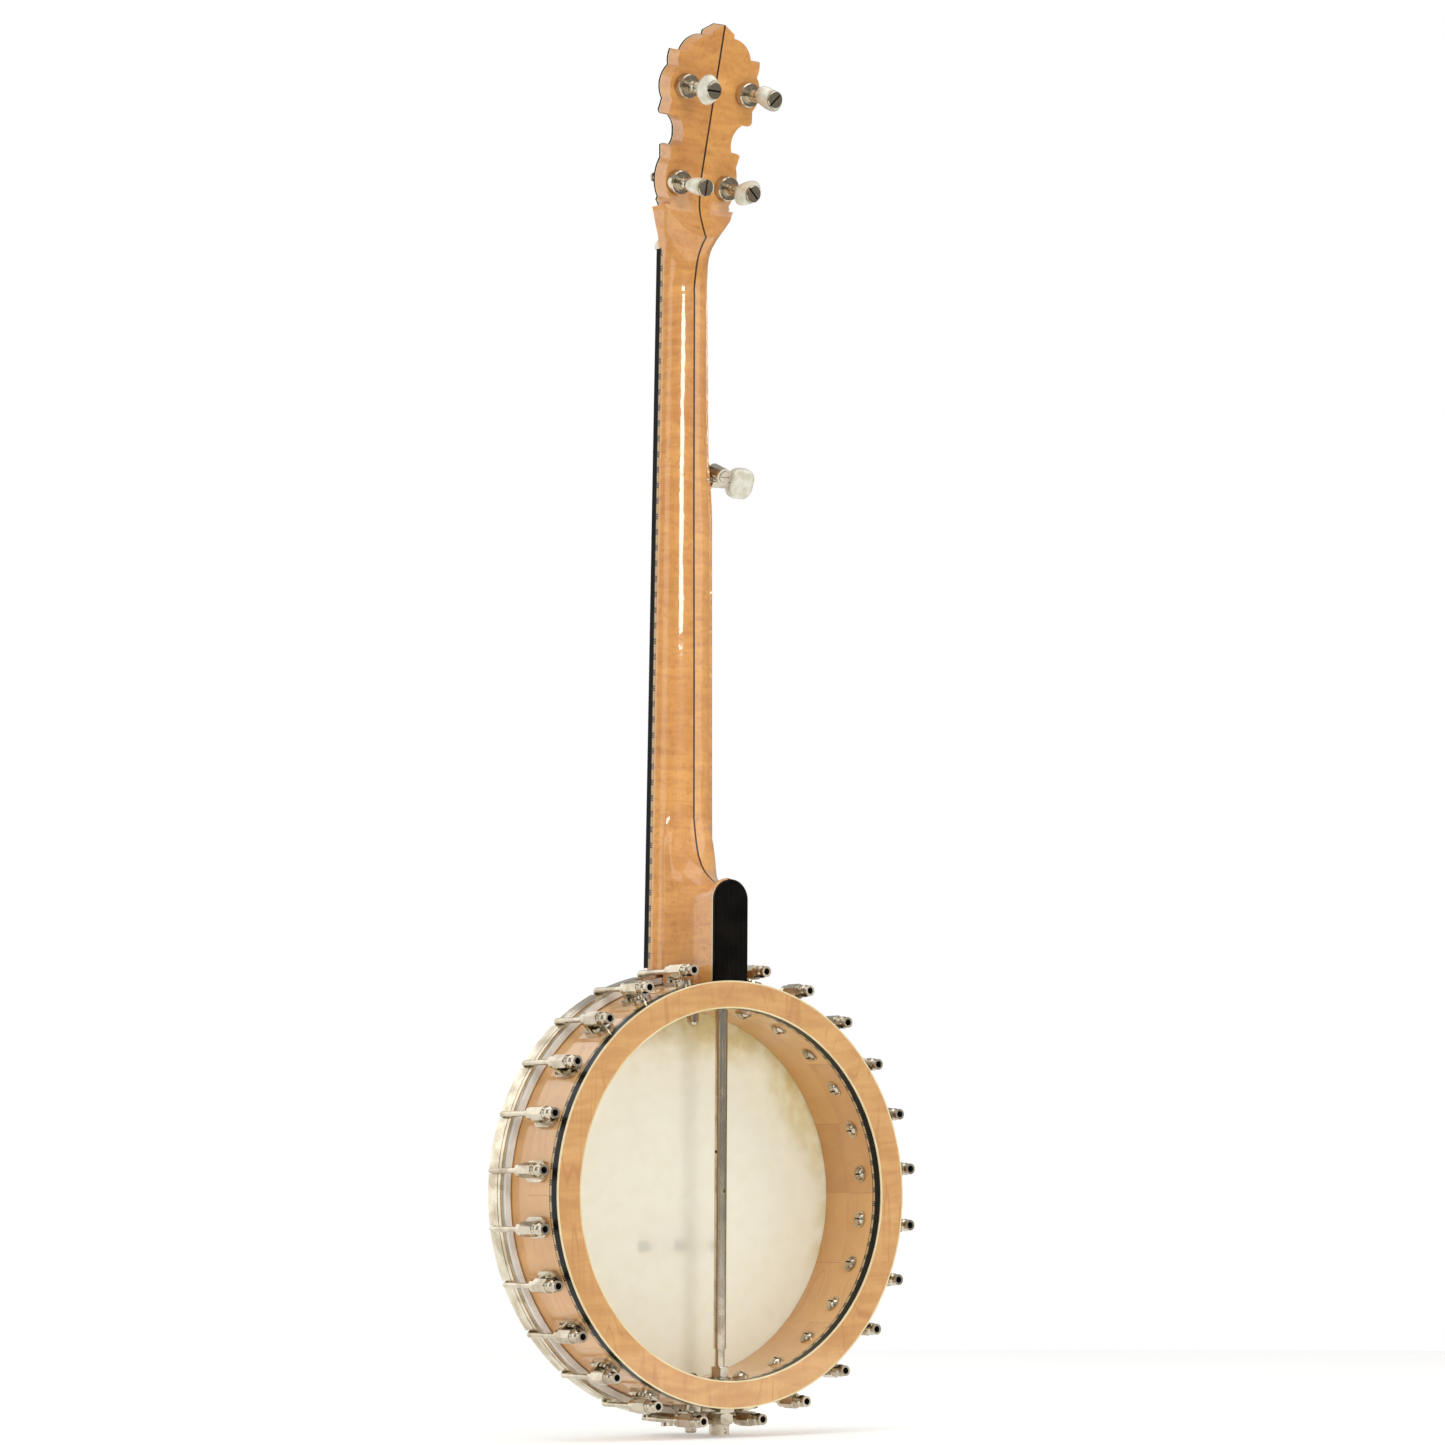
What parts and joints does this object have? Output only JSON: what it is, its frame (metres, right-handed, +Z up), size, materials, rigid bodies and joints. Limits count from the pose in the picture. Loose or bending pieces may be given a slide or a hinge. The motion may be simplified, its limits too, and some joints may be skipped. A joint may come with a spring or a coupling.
{
  "type": "open-back banjo",
  "caption": "Open-back banjo with a maple block rim, notched tension hoop and hooks, a metal rod across the pot, a figured neck with scrolled peghead, planetary pegs and a geared fifth peg.",
  "frame": {"origin": "the cradle point below the tail end of the pot, on the centre plane, in the plane of the rim's back face and level with the lowest hardware", "axes": "+Z up the neck, -Y the playing side with head and strings, +Y the open back, +X the treble side, -X the fifth-string side"},
  "size_m": [0.306, 0.1081, 0.9397],
  "materials": {
    "maple_pot": "gloss lacquer over maple blocks",
    "maple_cap": "gloss lacquer over maple",
    "maple_neck": "gloss lacquer over figured maple",
    "dark_strip": "gloss lacquer over dark wood",
    "ebony": "polished ebony",
    "black_band": "polished black",
    "marquetry": "light and dark wood inlay under lacquer",
    "cream_line": "polished cream",
    "nickel": "polished nickel plate",
    "nickel_satin": "worn nickel plate",
    "brass": "plain brass rod",
    "steel": "plain steel",
    "skin": "translucent skin-like head",
    "pearloid": "swirled pearloid",
    "pearl": "inlaid pearl",
    "bone": "polished bone",
    "bridge_maple": "bare maple",
    "string_steel": "plain and wound string"
  },
  "bodies": {
    "banjo": {"rim_front_course": "maple_pot", "rim_back_course": "maple_pot", "rim_marquetry": "marquetry", "rim_black_bands": "black_band", "rim_cap": "maple_cap", "rim_edge_lines": "cream_line", "tone_ring": "brass", "head_membrane": "skin", "head_collar": "skin", "flesh_hoop": "nickel_satin", "tension_hoop": "nickel", "bracket_hooks": "nickel", "hook_nuts": "nickel", "bracket_shoes": "nickel", "shoe_bolts": "nickel", "shoe_washers": "nickel", "coordinator_rod": "nickel", "rod_nuts": "nickel", "rod_washers": "nickel", "neck_hanger_bolts": "steel", "neck_acorn_nut": "nickel", "tailpiece": "nickel", "tailpiece_lock_nut": "nickel", "tailpiece_screw": "nickel", "neck_treble_half": "maple_neck", "neck_centre_strip": "dark_strip", "neck_bass_half": "maple_neck", "truss_rod": "steel", "heel_cap_veneer": "cream_line", "heel_cap": "ebony", "fingerboard_purfling": "marquetry", "fingerboard": "ebony", "frets": "nickel_satin", "position_markers": "pearl", "nut": "bone", "fifth_string_nut": "bone", "peghead_veneer": "cream_line", "peghead_overlay": "ebony", "tuner_housings": "nickel", "tuner_bushings": "nickel", "fifth_peg_housing": "nickel", "bridge_body": "bridge_maple", "bridge_cap": "ebony", "strings": "string_steel"},
    "peg_1_post": {"string_post_1": "nickel"},
    "peg_1_button": {"tuner_shaft_1": "nickel", "tuner_button_1": "pearloid"},
    "peg_2_post": {"string_post_2": "nickel"},
    "peg_2_button": {"tuner_shaft_2": "nickel", "tuner_button_2": "pearloid"},
    "peg_3_post": {"string_post_3": "nickel"},
    "peg_3_button": {"tuner_shaft_3": "nickel", "tuner_button_3": "pearloid"},
    "peg_4_post": {"string_post_4": "nickel"},
    "peg_4_button": {"tuner_shaft_4": "nickel", "tuner_button_4": "pearloid"},
    "fifth_peg_post_body": {"fifth_peg_post": "nickel"},
    "fifth_peg_button_body": {"fifth_peg_shaft": "nickel", "fifth_peg_button": "pearloid"}
  },
  "joints": [
    {"name": "peg_1_turn", "type": "hinge", "parent": "banjo", "child": "peg_1_button", "pos_m": [0.0196, -0.00763, 0.82595], "axis": [0, 0.961, -0.2765], "continuous": true},
    {"name": "peg_1_post_turn", "type": "hinge", "parent": "banjo", "child": "peg_1_post", "pos_m": [0.0196, -0.04607, 0.83701], "axis": [0, 0.961, -0.2765], "continuous": true},
    {"name": "peg_2_turn", "type": "hinge", "parent": "banjo", "child": "peg_2_button", "pos_m": [0.025, 0.01007, 0.88745], "axis": [0, 0.961, -0.2765], "continuous": true},
    {"name": "peg_2_post_turn", "type": "hinge", "parent": "banjo", "child": "peg_2_post", "pos_m": [0.025, -0.02837, 0.89851], "axis": [0, 0.961, -0.2765], "continuous": true},
    {"name": "peg_3_turn", "type": "hinge", "parent": "banjo", "child": "peg_3_button", "pos_m": [-0.025, 0.01007, 0.88745], "axis": [0, 0.961, -0.2765], "continuous": true},
    {"name": "peg_3_post_turn", "type": "hinge", "parent": "banjo", "child": "peg_3_post", "pos_m": [-0.025, -0.02837, 0.89851], "axis": [0, 0.961, -0.2765], "continuous": true},
    {"name": "peg_4_turn", "type": "hinge", "parent": "banjo", "child": "peg_4_button", "pos_m": [-0.0196, -0.00763, 0.82595], "axis": [0, 0.961, -0.2765], "continuous": true},
    {"name": "peg_4_post_turn", "type": "hinge", "parent": "banjo", "child": "peg_4_post", "pos_m": [-0.0196, -0.04607, 0.83701], "axis": [0, 0.961, -0.2765], "continuous": true},
    {"name": "fifth_peg_turn", "type": "hinge", "parent": "banjo", "child": "fifth_peg_button_body", "pos_m": [-0.0403, -0.052, 0.6365], "axis": [-1, 0, 0], "continuous": true},
    {"name": "fifth_peg_post_turn", "type": "hinge", "parent": "banjo", "child": "fifth_peg_post_body", "pos_m": [-0.0273, -0.05465, 0.64306], "axis": [0, -0.9205, 0.3907], "continuous": true}
  ],
  "couplings": [
    {"joint": "peg_1_post_turn", "follows": "peg_1_turn", "ratio": 0.25},
    {"joint": "peg_2_post_turn", "follows": "peg_2_turn", "ratio": 0.25},
    {"joint": "peg_3_post_turn", "follows": "peg_3_turn", "ratio": 0.25},
    {"joint": "peg_4_post_turn", "follows": "peg_4_turn", "ratio": 0.25},
    {"joint": "fifth_peg_post_turn", "follows": "fifth_peg_turn", "ratio": 0.1}
  ]
}
